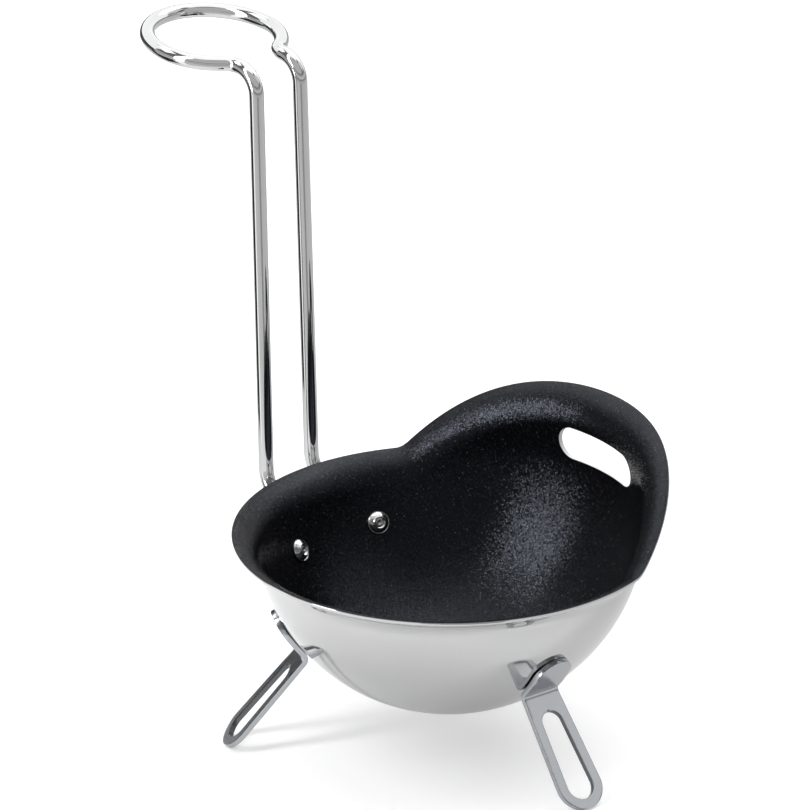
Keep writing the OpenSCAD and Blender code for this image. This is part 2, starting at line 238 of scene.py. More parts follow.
# The photograph's camera: its turn and rise, its distance from the lip's middle in millimetres, the
# sensor, the picture's side, the scale at the lip's middle, and where that middle falls
CAMERA_TURN = 36.93
CAMERA_RISE = 24.156
CAMERA_FAR = 2000.0
SENSOR_W = 36.0
FRAME_PX = 810
PX_PER_MM = 4.3465
LIP_MIDDLE_PX = (448.9, 533.92)


# Nodes

def connect(tree, value, slot):
    """Feeds a socket from a field, from another socket or with a plain value."""
    if isinstance(value, Field):
        tree.links.new(value.socket, slot)
    elif isinstance(value, bpy.types.NodeSocket):
        tree.links.new(value, slot)
    else:
        slot.default_value = value


class Field:
    """A number that a chain of nodes works out, so that a formula can be written as a formula."""

    def __init__(self, tree, socket):
        self.tree = tree
        self.socket = socket

    def math(self, operation, *others):
        node = self.tree.nodes.new("ShaderNodeMath")
        node.operation = operation
        for slot, value in zip(node.inputs, (self,) + others):
            connect(self.tree, value, slot)
        return Field(self.tree, node.outputs[0])

    def number(self, value):
        node = self.tree.nodes.new("ShaderNodeValue")
        node.outputs[0].default_value = value
        return Field(self.tree, node.outputs[0])

    def __add__(self, other):
        return self.math("ADD", other)

    __radd__ = __add__

    def __mul__(self, other):
        return self.math("MULTIPLY", other)

    __rmul__ = __mul__

    def __sub__(self, other):
        return self.math("SUBTRACT", other)

    def __rsub__(self, other):
        return self.number(other).math("SUBTRACT", self)

    def __truediv__(self, other):
        return self.math("DIVIDE", other)

    def __neg__(self):
        return self.math("MULTIPLY", -1.0)

    def __abs__(self):
        return self.math("ABSOLUTE")


def sin(x):
    return x.math("SINE")


def cos(x):
    return x.math("COSINE")


def acos(x):
    return clamp(x, -1.0, 1.0).math("ARCCOSINE")


def atan2(y, x):
    return y.math("ARCTAN2", x)


def sqrt(x):
    return larger(x, 0.0).math("SQRT")


def power(x, n):
    return x.math("POWER", n)


def smaller(a, b):
    return a.math("MINIMUM", b)


def larger(a, b):
    return a.math("MAXIMUM", b)


def clamp(x, low, high):
    return smaller(larger(x, low), high)


def smooth(x):
    c = clamp(x, 0.0, 1.0)
    return c * c * (3.0 - 2.0 * c)


def combine(tree, x, y, z):
    node = tree.nodes.new("ShaderNodeCombineXYZ")
    for slot, value in zip(node.inputs, (x, y, z)):
        connect(tree, value, slot)
    return node.outputs[0]


def separate(tree, vector):
    """The three parts of a vector as fields."""
    node = tree.nodes.new("ShaderNodeSeparateXYZ")
    tree.links.new(vector, node.inputs[0])
    return [Field(tree, output) for output in node.outputs]


def vector_math(tree, operation, *values):
    node = tree.nodes.new("ShaderNodeVectorMath")
    node.operation = operation
    slots = (node.inputs[0], node.inputs["Scale"]) if operation == "SCALE" else node.inputs
    for slot, value in zip(slots, values):
        connect(tree, value, slot)
    return node.outputs["Value"] if operation == "DOT_PRODUCT" else node.outputs["Vector"]


def new_tree(name, inputs, with_geometry=True):
    """A node group with named inputs: its tree, input node, inputs as fields, and output node."""
    tree = bpy.data.node_groups.new(name, "GeometryNodeTree")
    tree.interface.new_socket("Geometry", in_out="OUTPUT", socket_type="NodeSocketGeometry")
    if with_geometry:
        tree.interface.new_socket("Geometry", in_out="INPUT", socket_type="NodeSocketGeometry")
    for label, value in inputs.items():
        kind = "NodeSocketInt" if isinstance(value, int) else "NodeSocketFloat"
        socket = tree.interface.new_socket(label, in_out="INPUT", socket_type=kind)
        socket.default_value = value
    tree.interface.new_socket("Material", in_out="INPUT", socket_type="NodeSocketMaterial")
    source = tree.nodes.new("NodeGroupInput")
    target = tree.nodes.new("NodeGroupOutput")
    fields = {label: Field(tree, source.outputs[label]) for label in inputs}
    return tree, source, fields, target


def finish_tree(tree, source, geometry, target):
    """Every tree ends the same way: real geometry that carries the piece's material."""
    realize = tree.nodes.new("GeometryNodeRealizeInstances")
    material = tree.nodes.new("GeometryNodeSetMaterial")
    tree.links.new(geometry, realize.inputs[0])
    tree.links.new(realize.outputs[0], material.inputs["Geometry"])
    tree.links.new(source.outputs["Material"], material.inputs["Material"])
    tree.links.new(material.outputs[0], target.inputs[0])


def place(tree, geometry, position):
    node = tree.nodes.new("GeometryNodeSetPosition")
    tree.links.new(geometry, node.inputs["Geometry"])
    tree.links.new(position, node.inputs["Position"])
    return node.outputs[0]


def add_tree(obj, tree, material, values):
    """Puts a tree on an object and sets its inputs by their sockets' identifiers."""
    modifier = obj.modifiers.new(tree.name, "NODES")
    modifier.node_group = tree
    for item in tree.interface.items_tree:
        if item.item_type == "SOCKET" and item.in_out == "INPUT":
            if item.name == "Material":
                modifier[item.identifier] = material
            elif item.name in values:
                modifier[item.identifier] = values[item.name]


# Meshes

def mesh_object(name, mesh):
    obj = bpy.data.objects.new(name, mesh)
    bpy.context.scene.collection.objects.link(obj)
    return obj


def object_from(work, name):
    """Ends the work on a mesh and puts it in the scene."""
    mesh = bpy.data.meshes.new(name)
    work.to_mesh(mesh)
    work.free()
    return mesh_object(name, mesh)


def bake(obj, name, sharp):
    """Turns an object with live modifiers into a plain mesh object with clean normals."""
    bpy.context.view_layer.update()
    evaluated = obj.evaluated_get(bpy.context.evaluated_depsgraph_get())
    mesh = bpy.data.meshes.new_from_object(evaluated)
    bpy.data.objects.remove(obj)
    work = bmesh.new()
    work.from_mesh(mesh)
    bmesh.ops.remove_doubles(work, verts=work.verts, dist=SAME_POINT)
    bmesh.ops.dissolve_degenerate(work, edges=work.edges, dist=NO_EDGE)
    bmesh.ops.recalc_face_normals(work, faces=work.faces)
    for face in work.faces:
        face.smooth = True
    for edge in work.edges:
        edge.smooth = edge.calc_face_angle(math.pi) < sharp * DEG
    work.to_mesh(mesh)
    work.free()
    mesh.name = name
    return mesh_object(name, mesh)


def cutter(work, name):
    """A hidden solid that a Boolean modifier takes away."""
    obj = object_from(work, name)
    obj.hide_render = True
    return obj


def cut(obj, tool):
    modifier = obj.modifiers.new("cut", "BOOLEAN")
    modifier.operation = "DIFFERENCE"
    modifier.solver = "EXACT"
    modifier.object = tool


def outward(az, low):
    """Turns +Z outward from the sphere's centre to azimuth az, low degrees below level."""
    turn = Matrix.Rotation(az * DEG, 4, "Z") @ Matrix.Rotation((90 + low) * DEG, 4, "Y")
    return Matrix.Translation((0, 0, CUP_Z * MM)) @ turn


# Materials

def new_material(name):
    material = bpy.data.materials.new(name)
    material.use_nodes = True
    return material, material.node_tree, material.node_tree.nodes["Principled BSDF"]


def own_coordinates(tree):
    return tree.nodes.new("ShaderNodeTexCoord").outputs["Object"]


def object_noise(tree, scale, detail):
    """Noise on the piece's own coordinates; scale is in features a metre."""
    noise = tree.nodes.new("ShaderNodeTexNoise")
    noise.inputs["Scale"].default_value = scale
    noise.inputs["Detail"].default_value = detail
    tree.links.new(own_coordinates(tree), noise.inputs["Vector"])
    return noise.outputs["Fac"]


def voronoi_cells(tree, cells):
    """Cells of the given number a metre: a random colour for each, and the distance from its middle."""
    voronoi = tree.nodes.new("ShaderNodeTexVoronoi")
    voronoi.inputs["Scale"].default_value = cells
    tree.links.new(own_coordinates(tree), voronoi.inputs["Vector"])
    return voronoi.outputs["Color"], voronoi.outputs["Distance"]


def spread(tree, value, to_range, from_range):
    """Maps one range of a value onto another and holds it there."""
    node = tree.nodes.new("ShaderNodeMapRange")
    tree.links.new(value, node.inputs["Value"])
    for label, number in zip(("From Min", "From Max", "To Min", "To Max"), from_range + to_range):
        node.inputs[label].default_value = number
    return node.outputs["Result"]


def blend_colours(tree, factor, low, high):
    node = tree.nodes.new("ShaderNodeMix")
    node.data_type = "RGBA"
    tree.links.new(factor, node.inputs["Factor"])
    sockets = [s for s in node.inputs if s.type == "RGBA"]
    for socket, colour in zip(sockets, (low, high)):
        connect(tree, (*colour, 1.0) if isinstance(colour, tuple) else colour, socket)
    return [s for s in node.outputs if s.type == "RGBA"][0]


# Noise keeps near its middle, so the gloss is spread from this part of its range
NOISE_RANGE = (0.3, 0.7)


def metal(name, colours, roughness, cloud, grain, grain_depth):
    """Bare metal: a slight cloud in the colour, a finer one in the gloss, and a grain in the bump."""
    material, tree, shader = new_material(name)
    shader.inputs["Metallic"].default_value = 1.0
    clouds = object_noise(tree, cloud, 2.0)
    tree.links.new(blend_colours(tree, clouds, *colours), shader.inputs["Base Color"])
    gloss = object_noise(tree, cloud * 4, 4.0)
    tree.links.new(spread(tree, gloss, roughness, NOISE_RANGE), shader.inputs["Roughness"])
    bump = tree.nodes.new("ShaderNodeBump")
    bump.inputs["Strength"].default_value = 1.0
    bump.inputs["Distance"].default_value = grain_depth
    tree.links.new(object_noise(tree, grain, 2.0), bump.inputs["Height"])
    tree.links.new(bump.outputs["Normal"], shader.inputs["Normal"])
    return material


def leg_strip():
    """Satin strip whose punched slot has darker walls: partly their duller sheared finish, partly
    painted shade.
    """
    material = metal(
        "satin_strip", ((0.48, 0.495, 0.52), (0.515, 0.53, 0.555)), (0.16, 0.21),
        cloud=120.0, grain=1500.0, grain_depth=2e-6,
    )
    tree = material.node_tree
    shader = tree.nodes["Principled BSDF"]
    face = shader.inputs["Base Color"].links[0].from_socket
    wall = tree.nodes.new("ShaderNodeAttribute")
    wall.attribute_name = "slot_wall"
    # Faces next to the slot fade from 1 to 0, so only what is nearly 1 is wall
    chosen = spread(tree, wall.outputs["Fac"], (0.0, 1.0), (0.85, 0.95))
    # Painted shade: the slot's walls take a darker colour, partly also for their duller sheared finish
    tree.links.new(blend_colours(tree, chosen, face, SLOT_WALL_FINISH_AND_SHADE), shader.inputs["Base Color"])
    return material


def charcoal_coating():
    """Baked non-stick coating: near-black, with mineral flakes that lie at slight tilts and glint."""
    material, tree, shader = new_material("charcoal_coating")
    clouds = object_noise(tree, 60.0, 3.0)
    colour = blend_colours(tree, clouds, *COATING_COLOURS)
    for cells, share, tone in FLECKS:
        random, distance = voronoi_cells(tree, cells)
        split = tree.nodes.new("ShaderNodeSeparateColor")
        tree.links.new(random, split.inputs[0])
        chosen = spread(tree, split.outputs[0], (0.0, 1.0), (1.0 - share, 1.0 - share + 0.01))
        core = spread(tree, distance, (1.0, 0.0), FLECK_EDGE)
        both = Field(tree, chosen) * Field(tree, core)
        colour = blend_colours(tree, both.socket, colour, tone)
    tree.links.new(colour, shader.inputs["Base Color"])
    gloss = object_noise(tree, 900.0, 3.0)
    tree.links.new(spread(tree, gloss, COATING_ROUGHNESS, NOISE_RANGE), shader.inputs["Roughness"])
    shader.inputs["Specular IOR Level"].default_value = 0.30
    shader.inputs["Specular Tint"].default_value = (0.77, 0.84, 1.0, 1.0)
    # A cell's random colour, with its middle taken off, leans the flake's normal
    random, _ = voronoi_cells(tree, FLAKES)
    lean = vector_math(tree, "MULTIPLY_ADD", random, [FLAKE_TILT] * 3, [-FLAKE_TILT / 2] * 3)
    normal = tree.nodes.new("ShaderNodeNewGeometry").outputs["Normal"]
    leaned = vector_math(tree, "NORMALIZE", vector_math(tree, "ADD", normal, lean))
    tree.links.new(leaned, shader.inputs["Normal"])
    return material


MATERIALS = {
    "steel": metal(
        "polished_steel", ((0.60, 0.605, 0.61), (0.655, 0.655, 0.65)), (0.05, 0.11),
        cloud=45.0, grain=500.0, grain_depth=2e-6,
    ),
    "wire": metal(
        "chrome_wire", ((0.58, 0.585, 0.59), (0.64, 0.64, 0.64)), (0.05, 0.10),
        cloud=90.0, grain=260.0, grain_depth=3e-6,
    ),
    "leg": leg_strip(),
    "rivet": metal(
        "rivet_steel", ((0.62, 0.62, 0.62), (0.72, 0.72, 0.72)), (0.10, 0.20),
        cloud=200.0, grain=900.0, grain_depth=6e-6,
    ),
    "pin": metal(
        "pin_steel", ((0.42, 0.42, 0.42), (0.55, 0.55, 0.55)), (0.22, 0.35),
        cloud=300.0, grain=1500.0, grain_depth=8e-6,
    ),
    "coating": charcoal_coating(),
}


# The pressed cup

def sheet_polar(v, f, lag):
    """Polar angle of the sheet at azimuth f, a lag past the start of its bend."""
    shoulder = (abs(f).math("LESS_THAN", SHOULDER_REACH * DEG)) * v["Shield shoulder"]
    g = f - shoulder * sin(f * 3.0)
    edge = sqrt(v["Rim radius"] * v["Rim radius"] + v["Rim drop"] * v["Rim drop"])
    bend = v["Bend radius"]
    centre = v["Sheet radius"] + bend
    reach = (edge * edge + centre * centre - bend * bend) / (2.0 * edge * centre)
    lip = atan2(v["Rim drop"], v["Rim radius"]) + acos(reach) + (math.pi / 2) - lag
    a = cos(v["Shield tilt"])
    b = -(sin(v["Shield tilt"]) * cos(g))
    low = (v["Shield drop"] / v["Sheet radius"]).math("ARCSINE") + math.pi / 2
    c = cos(low - lag) / sqrt(a * a + b * b)
    shield = atan2(b, a) + acos(c)
    corner = larger(v["Shield blend"] - abs(lip - shield), 0.0)
    return smaller(lip, shield) - corner * corner / (4.0 * v["Shield blend"])


def cup_tree():
    """One shell of the pressed cup between two offsets from the sheet's middle, with a rounded edge."""
    inputs = {
        "Sheet radius": MID_R * MM,
        "Bend radius": FLARE_R * MM,
        "Rim radius": RIM_R * MM,
        "Rim drop": RIM_DROP * MM,
        "Trim rise": TRIM_RISE * MM,
        "Shield tilt": SHIELD_TILT * DEG,
        "Shield drop": SHIELD_DROP * MM,
        "Shield blend": SHIELD_BLEND * DEG,
        "Shield shoulder": SHIELD_SHOULDER * DEG,
        "Centre height": CUP_Z * MM,
        "Outer offset": 0.0,
        "Inner offset": 0.0,
        "Edge back": 0.0,
        "Edge round": 0.0,
        "Around": AROUND_POINTS,
        "Along": SECTION_SPANS + 1,
    }
    tree, source, v, target = new_tree("pressed_cup", inputs, with_geometry=False)
    grid = tree.nodes.new("GeometryNodeMeshGrid")
    connect(tree, v["Around"], grid.inputs["Vertices X"])
    connect(tree, v["Along"], grid.inputs["Vertices Y"])
    for label in ("Size X", "Size Y"):
        grid.inputs[label].default_value = 1.0
    across, up, _ = separate(tree, tree.nodes.new("GeometryNodeInputPosition").outputs[0])
    f = across * (2 * math.pi)
    along = up + 0.5
    # Along the grid: up the outer skin, across the edge, and down the inner skin
    skin = SKIN_SPANS / SECTION_SPANS
    reach = smaller(smaller(along, 1.0 - along) / skin, 1.0)
    w = cos(clamp((along - skin) / (1 - 2 * skin), 0.0, 1.0) * math.pi)
    middle = (v["Outer offset"] + v["Inner offset"]) * 0.5
    half = (v["Outer offset"] - v["Inner offset"]) * 0.5
    r = v["Sheet radius"] + middle + half * w
    trimmed = sqrt(v["Rim radius"] * v["Rim radius"] + power(v["Rim drop"] + v["Trim rise"], 2.0))
    rounding = 1.0 - sqrt(sqrt(1.0 - power(abs(w), 4.0)))
    trim = trimmed - v["Edge back"] - v["Edge round"] * rounding
    centre = v["Sheet radius"] + v["Bend radius"]
    q = centre - r

    def lag(t):
        return atan2(q * sin(t), centre - q * cos(t))

    turn = f.number(TURN_GUESS * DEG)
    for _ in range(TURN_ROUNDS):
        polar = sheet_polar(v, f, lag(turn))
        sideways = v["Trim rise"] * sin(polar)
        span = v["Trim rise"] * cos(polar) + sqrt(trim * trim - sideways * sideways)
        turn = acos((centre * centre + q * q - span * span) / (2.0 * centre * q))
    t = turn * clamp((reach - SPHERE_PART) / (1 - SPHERE_PART), 0.0, 1.0)
    from_pole = clamp(reach / SPHERE_PART, 0.0, 1.0)
    polar = (sheet_polar(v, f, lag(t)) - math.pi) * from_pole + math.pi
    bent_x = centre - q * cos(t)
    bent_y = q * sin(t)
    distance = sqrt(bent_x * bent_x + bent_y * bent_y)
    flat = distance * sin(polar)
    spot = combine(tree, flat * cos(f), flat * sin(f), distance * cos(polar) + v["Centre height"])
    merge = tree.nodes.new("GeometryNodeMergeByDistance")
    merge.inputs["Distance"].default_value = SAME_ON_CUP
    tree.links.new(place(tree, grid.outputs["Mesh"], spot), merge.inputs["Geometry"])
    finish_tree(tree, source, merge.outputs[0], target)
    return tree


def slot_cutter():
    """An obround bar that goes through the shield."""
    work = bmesh.new()
    end_spans = 32
    straight = (SLOT_L - SLOT_W) / 2
    outline = []
    for side in (1, -1):
        for i in range(end_spans + 1):
            a = (-90 + 180 * i / end_spans) * DEG
            y = side * (straight + SLOT_W / 2 * math.cos(a))
            z = SLOT_W / 2 * math.sin(a) * side
            outline.append((y * MM, (RIM_H + SLOT_H + z) * MM))
    near, far = [[work.verts.new((x * MM, y, z)) for y, z in outline] for x in SLOT_BAR_ENDS]
    work.faces.new(near)
    work.faces.new(far[::-1])
    for i in range(len(outline)):
        j = (i + 1) % len(outline)
        work.faces.new((near[i], near[j], far[j], far[i]))
    bmesh.ops.recalc_face_normals(work, faces=work.faces)
    return cutter(work, "slot_cutter")


def hole_cutter(name, side):
    """A round bar through the cup's wall and the wire's eye, where one rivet goes."""
    work = bmesh.new()
    radius = (RIVET_D / 2 + HOLE_CLEAR) * MM
    bmesh.ops.create_cone(
        work, cap_ends=True, segments=HOLE_BAR_SIDES,
        radius1=radius, radius2=radius, depth=HOLE_BAR_L * MM,
    )
    turn = outward(HANDLE_TURN + side * RIVET_SIDE, RIVET_LOW)
    work.transform(turn @ Matrix.Translation((0, 0, HOLE_BAR_AT * MM)))
    return cutter(work, name)


def cup_shell(name, tree, material, tools, values):
    shell = mesh_object(name, bpy.data.meshes.new(name))
    add_tree(shell, tree, material, values)
    for tool in tools:
        cut(shell, tool)
    return bake(shell, name, sharp=35.0)


# The handle

def aim(side, low):
    s = side * DEG
    d = low * DEG
    return Vector((math.cos(d) * math.sin(s), math.cos(d) * math.cos(s), -math.sin(d)))


def corner(a, b, c, radius, count):
    """Points on the round at corner b, between a and c."""
    u = (b - a).normalized()
    v = (c - b).normalized()
    bend = u.angle(v)
    inward = (v - u * u.dot(v)).normalized()
    centre = b - u * radius * math.tan(bend / 2) + inward * radius
    steps = [bend * i / count for i in range(count + 1)]
    return [centre - inward * radius * math.cos(q) + u * radius * math.sin(q) for q in steps]


def half_run():
    """The wire's middle line on one side, from its eye to the middle of the ring."""
    eye_spans = 28
    eye_bend_spans = 16
    bend_spans = 24
    ring_spans = 60
    centre = Vector((0, 0, CUP_Z))
    face = aim(RIVET_SIDE, RIVET_LOW)
    eye = centre + face * (CUP_R + EYE_GAP + EYE_T / 2)
    knee_way = aim(RIVET_SIDE * KNEE_SIDE, RIVET_LOW * KNEE_LOW)
    knee = centre + knee_way * (CUP_R + WIRE_R + KNEE_GAP)
    low = Vector((GAP_LOW / 2, RIM_R + WIRE_CLEAR + WIRE_R, RIM_H - WIRE_DROP))
    top = Vector((GAP_TOP / 2, low.y + WIRE_LEAN, GRIP_H))
    up = ((knee - eye) - face * (knee - eye).dot(face)).normalized()
    out = Vector((0, math.cos(RING_PITCH * DEG), math.sin(RING_PITCH * DEG)))
    # The third point only gives the way out of the bend
    top_bend = corner(low, top, top + out * 30, TOP_BEND_R, bend_spans)
    start = top_bend[-1]

    def loop_point(x, t):
        return Vector((x, start.y, start.z)) + out * t

    neck_x = GAP_TOP / 2 + NECK_R
    ring_t = NECK_RUN + math.sqrt((RING_R + NECK_R) ** 2 - neck_x ** 2)
    neck_a = math.atan2(NECK_RUN - ring_t, neck_x)
    run = [
        eye + up * (-1 + (1 + EYE_RUN) * i / eye_spans) * EYE_D / 2
        for i in range(eye_spans + 1)
    ]
    run += corner(eye + up * EYE_D / 2 * EYE_RUN, knee, low, EYE_BEND_R, eye_bend_spans)
    run += corner(knee, low, top, LOW_BEND_R, bend_spans)
    run += top_bend
    for i in range(1, bend_spans + 1):
        a = math.pi + neck_a * i / bend_spans
        run.append(loop_point(neck_x + NECK_R * math.cos(a), NECK_RUN + NECK_R * math.sin(a)))
    for i in range(1, ring_spans + 1):
        a = neck_a + (math.pi / 2 - neck_a) * i / ring_spans
        stretch = RING_STRETCH if a > 0 else 1.0
        run.append(loop_point(RING_R * math.cos(a), ring_t + stretch * RING_R * math.sin(a)))
    return run, face


def wire_path():
    """The middle line as a chain of edges, each point with the direction that its flat side faces."""
    run, face = half_run()
    sides = [face]
    for i in range(1, len(run)):
        along = (run[min(i + 1, len(run) - 1)] - run[i - 1]).normalized()
        sides.append((sides[-1] - along * sides[-1].dot(along)).normalized())
    other = [Vector((-p.x, p.y, p.z)) for p in run[-2::-1]]
    other_sides = [Vector((-s.x, s.y, s.z)) for s in sides[-2::-1]]
    turn = Matrix.Rotation((HANDLE_TURN - 90) * DEG, 3, "Z")
    points = [turn @ p * MM for p in run + other]
    mesh = bpy.data.meshes.new("wire_path")
    mesh.from_pydata(points, [(i, i + 1) for i in range(len(points) - 1)], [])
    flat = mesh.attributes.new("flat_side", "FLOAT_VECTOR", "POINT")
    for i, side in enumerate(sides + other_sides):
        flat.data[i].vector = turn @ side
    return mesh_object("wire_path", mesh)


def named_attribute(tree, name, kind):
    node = tree.nodes.new("GeometryNodeInputNamedAttribute")
    node.data_type = kind
    node.inputs["Name"].default_value = name
    return node.outputs["Attribute"]


def wire_tree():
    """Round wire along a path, pressed flat into an eye at both ends."""
    inputs = {
        "Wire radius": WIRE_R * MM,
        "Eye radius": EYE_D / 2 * MM,
        "Eye half thickness": EYE_T / 2 * MM,
        "Press run": PRESS_RUN * MM,
        "Sides": 40,
    }
    tree, source, v, target = new_tree("bent_wire", inputs)
    links = tree.links
    path = tree.nodes.new("GeometryNodeMeshToCurve")
    links.new(source.outputs["Geometry"], path.inputs["Mesh"])
    position = tree.nodes.new("GeometryNodeInputPosition").outputs[0]
    here = Field(tree, tree.nodes.new("GeometryNodeSplineParameter").outputs["Length"])
    length = Field(tree, tree.nodes.new("GeometryNodeSplineLength").outputs["Length"])
    # What each ring of the swept wire has to know about its place on the path
    flow = path.outputs[0]
    kept = {}
    for label, kind, value in (
        ("middle", "FLOAT_VECTOR", position),
        ("tangent", "FLOAT_VECTOR", tree.nodes.new("GeometryNodeInputTangent").outputs[0]),
        ("side", "FLOAT_VECTOR", named_attribute(tree, "flat_side", "FLOAT_VECTOR")),
        ("from_end", "FLOAT", smaller(here, length - here)),
    ):
        store = tree.nodes.new("GeometryNodeStoreNamedAttribute")
        store.data_type = kind
        store.domain = "POINT"
        store.inputs["Name"].default_value = label
        links.new(flow, store.inputs["Geometry"])
        connect(tree, value, store.inputs["Value"])
        flow = store.outputs[0]
        kept[label] = named_attribute(tree, label, kind)
    circle = tree.nodes.new("GeometryNodeCurvePrimitiveCircle")
    connect(tree, v["Sides"], circle.inputs["Resolution"])
    connect(tree, v["Wire radius"], circle.inputs["Radius"])
    sweep = tree.nodes.new("GeometryNodeCurveToMesh")
    sweep.inputs["Fill Caps"].default_value = True
    links.new(flow, sweep.inputs["Curve"])
    links.new(circle.outputs["Curve"], sweep.inputs["Profile Curve"])

    normal = kept["side"]
    cross = vector_math(tree, "CROSS_PRODUCT", kept["tangent"], normal)
    offset = vector_math(tree, "SUBTRACT", position, kept["middle"])
    depth = Field(tree, vector_math(tree, "DOT_PRODUCT", offset, normal))
    width = Field(tree, vector_math(tree, "DOT_PRODUCT", offset, cross))
    s = Field(tree, kept["from_end"])
    wire = v["Wire radius"]
    eye = v["Eye radius"]
    flat = v["Eye half thickness"]
    # How round the wire is here: 0 in the eye and 1 where the pressing has run out
    rounded = smooth((s - eye * EYE_PRESSED) / v["Press run"])
    limit = flat + (wire - flat) * rounded
    disc = sqrt(1.0 - power(1.0 - smaller(s / eye, 1.0), 2.0)) * eye
    waist = eye * (1.0 - EYE_WAIST * smooth((s - eye) / eye))
    half_width = smaller(disc, waist) * (1.0 - rounded) + wire * rounded
    pressed_width = width * half_width / wire
    pressed_depth = larger(smaller(depth, limit), -limit)
    pressed_depth = pressed_depth * smaller(s / (eye * EYE_TIP) + EYE_TIP_T, 1.0)
    deep = vector_math(tree, "SCALE", normal, pressed_depth)
    wide = vector_math(tree, "SCALE", cross, pressed_width)
    spot = vector_math(tree, "ADD", kept["middle"], vector_math(tree, "ADD", deep, wide))
    finish_tree(tree, source, place(tree, sweep.outputs[0], spot), target)
    return tree


def wire_handle(tools):
    wire = wire_path()
    add_tree(wire, wire_tree(), MATERIALS["wire"], {})
    for tool in tools:
        cut(wire, tool)
    return bake(wire, "bent_wire_handle", sharp=50.0)


# Pieces set round the cup

def around_tree():
    """Copies a piece round the cup's axis, each turned by a step, about a centre on that axis."""
    inputs = {"Count": 2, "First angle": 0.0, "Step angle": 0.0, "Tilt": 0.0, "Centre height": 0.0}
    tree, source, v, target = new_tree("set_round_the_cup", inputs)
    links = tree.links
    points = tree.nodes.new("GeometryNodePoints")
    connect(tree, v["Count"], points.inputs["Count"])
    links.new(combine(tree, 0.0, 0.0, v["Centre height"]), points.inputs["Position"])
    index = Field(tree, tree.nodes.new("GeometryNodeInputIndex").outputs[0])
    turn = combine(tree, 0.0, v["Tilt"], index * v["Step angle"] + v["First angle"])
    rotation = tree.nodes.new("FunctionNodeEulerToRotation")
    links.new(turn, rotation.inputs[0])
    copies = tree.nodes.new("GeometryNodeInstanceOnPoints")
    links.new(points.outputs[0], copies.inputs["Points"])
    links.new(source.outputs["Geometry"], copies.inputs["Instance"])
    links.new(rotation.outputs[0], copies.inputs["Rotation"])
    finish_tree(tree, source, copies.outputs[0], target)
    return tree


def turned(name, profile, segments=72):
    """A solid turned about +Z from a closed or axis-to-axis line of (radius, height) points."""
    work = bmesh.new()
    rings = []
    for radius, height in profile:
        if radius == 0:
            rings.append([work.verts.new((0, 0, height * MM))])
            continue
        angles = [2 * math.pi * i / segments for i in range(segments)]
        rings.append([
            work.verts.new((radius * math.cos(a) * MM, radius * math.sin(a) * MM, height * MM))
            for a in angles
        ])
    for low, high in zip(rings, rings[1:]):
        for i in range(segments):
            j = (i + 1) % segments
            face = [low[i % len(low)], low[j % len(low)], high[j % len(high)], high[i % len(high)]]
            work.faces.new(list(dict.fromkeys(face)))
    bmesh.ops.recalc_face_normals(work, faces=work.faces)
    return object_from(work, name)


def arc_points(cx, cz, radius, start, end, count):
    angles = [(start + (end - start) * i / count) * DEG for i in range(count + 1)]
    return [(cx + radius * math.cos(a), cz + radius * math.sin(a)) for a in angles]


def rivet_body():
    """Domed head inside the cup, shank through wall and eye, bulb on the far side, the pin's hole."""
    dome_r = ((HEAD_D / 2) ** 2 + HEAD_H ** 2) / (2 * HEAD_H)
    hole = PIN_R + PIN_CLEAR
    sink_angle = math.degrees(math.asin((SINK_R + 0.12) / dome_r))
    edge_angle = math.degrees(math.asin((HEAD_D / 2 - 0.12) / dome_r))
    # The sink round the pin, the dome, the head's rim, the shank, the bulb and its flat end
    profile = [(hole, FACE_Z + 0.46)]
    profile += arc_points(SINK_R - 0.06, FACE_Z + 0.14, HEAD_ROUND, -10, -80, 5)
    profile += arc_points(0, FACE_Z + dome_r, dome_r, -90 + sink_angle, -90 + edge_angle, 14)
    profile += arc_points(HEAD_D / 2 - HEAD_ROUND, SEAT_Z - HEAD_ROUND, HEAD_ROUND, -50, 80, 6)
    profile += [(RIVET_D / 2, SEAT_Z), (RIVET_D / 2, BULB_Z)]
    profile += arc_points(BULB_R * 0.62, BULB_Z + BULB_H * 0.4, BULB_R * 0.4, -75, 55, 10)
    profile += [(RIVET_D / 2, BULB_Z + BULB_H), (hole, BULB_Z + BULB_H)]
    profile.append(profile[0])
    return turned("rivet_blank", profile)


def rivet_pin():
    """The pin that set the rivet: a broken-off end with a dimple inside the cup, a tail head outside."""
    tail = BULB_Z + BULB_H + PIN_CLEAR
    end = FACE_Z + 0.1
    # The dimple, the broken end's rim, the shank, the tail's rim and its flat end
    profile = [(0, end + 0.26), (PIN_R * 0.2, end + 0.24), (PIN_R * 0.5, end + 0.04)]
    profile += arc_points(PIN_R - 0.12, end + 0.12, 0.12, -90, 0, 5)
    profile += [(PIN_R, tail), (RIVET_D * 0.46, tail)]
    profile += arc_points(RIVET_D * 0.38, tail + 0.2, 0.2, -60, 40, 5)
    profile += [(RIVET_D * 0.36, tail + TAIL_H), (0, tail + TAIL_H)]
    return turned("pin_blank", profile)


def rivet_set(blank, name, material, tree):
    add_tree(blank, tree, material, {
        "Count": 2,
        "First angle": (HANDLE_TURN - RIVET_SIDE) * DEG,
        "Step angle": 2 * RIVET_SIDE * DEG,
        "Tilt": (90 + RIVET_LOW) * DEG,
        "Centre height": CUP_Z * MM,
    })
    return bake(blank, name, sharp=40.0)


# The legs

def fold_places():
    """Centre of the fold in the leg's upright plane, the straight foot's start, and its length."""
    down = Vector((math.cos(LEG_FOLD * DEG), -math.sin(LEG_FOLD * DEG)))
    centre = Vector((0, CUP_Z)) + down * (TAB_MID_R + FOLD_MID_R)
    splay = LEG_SPLAY * DEG
    inward = Vector((-math.cos(splay), -math.sin(splay)))
    start = centre + inward * FOLD_MID_R
    length = (start.y + inward.y * LEG_T / 2 + FOOT_FLAT) / math.cos(splay)
    return centre, start, length


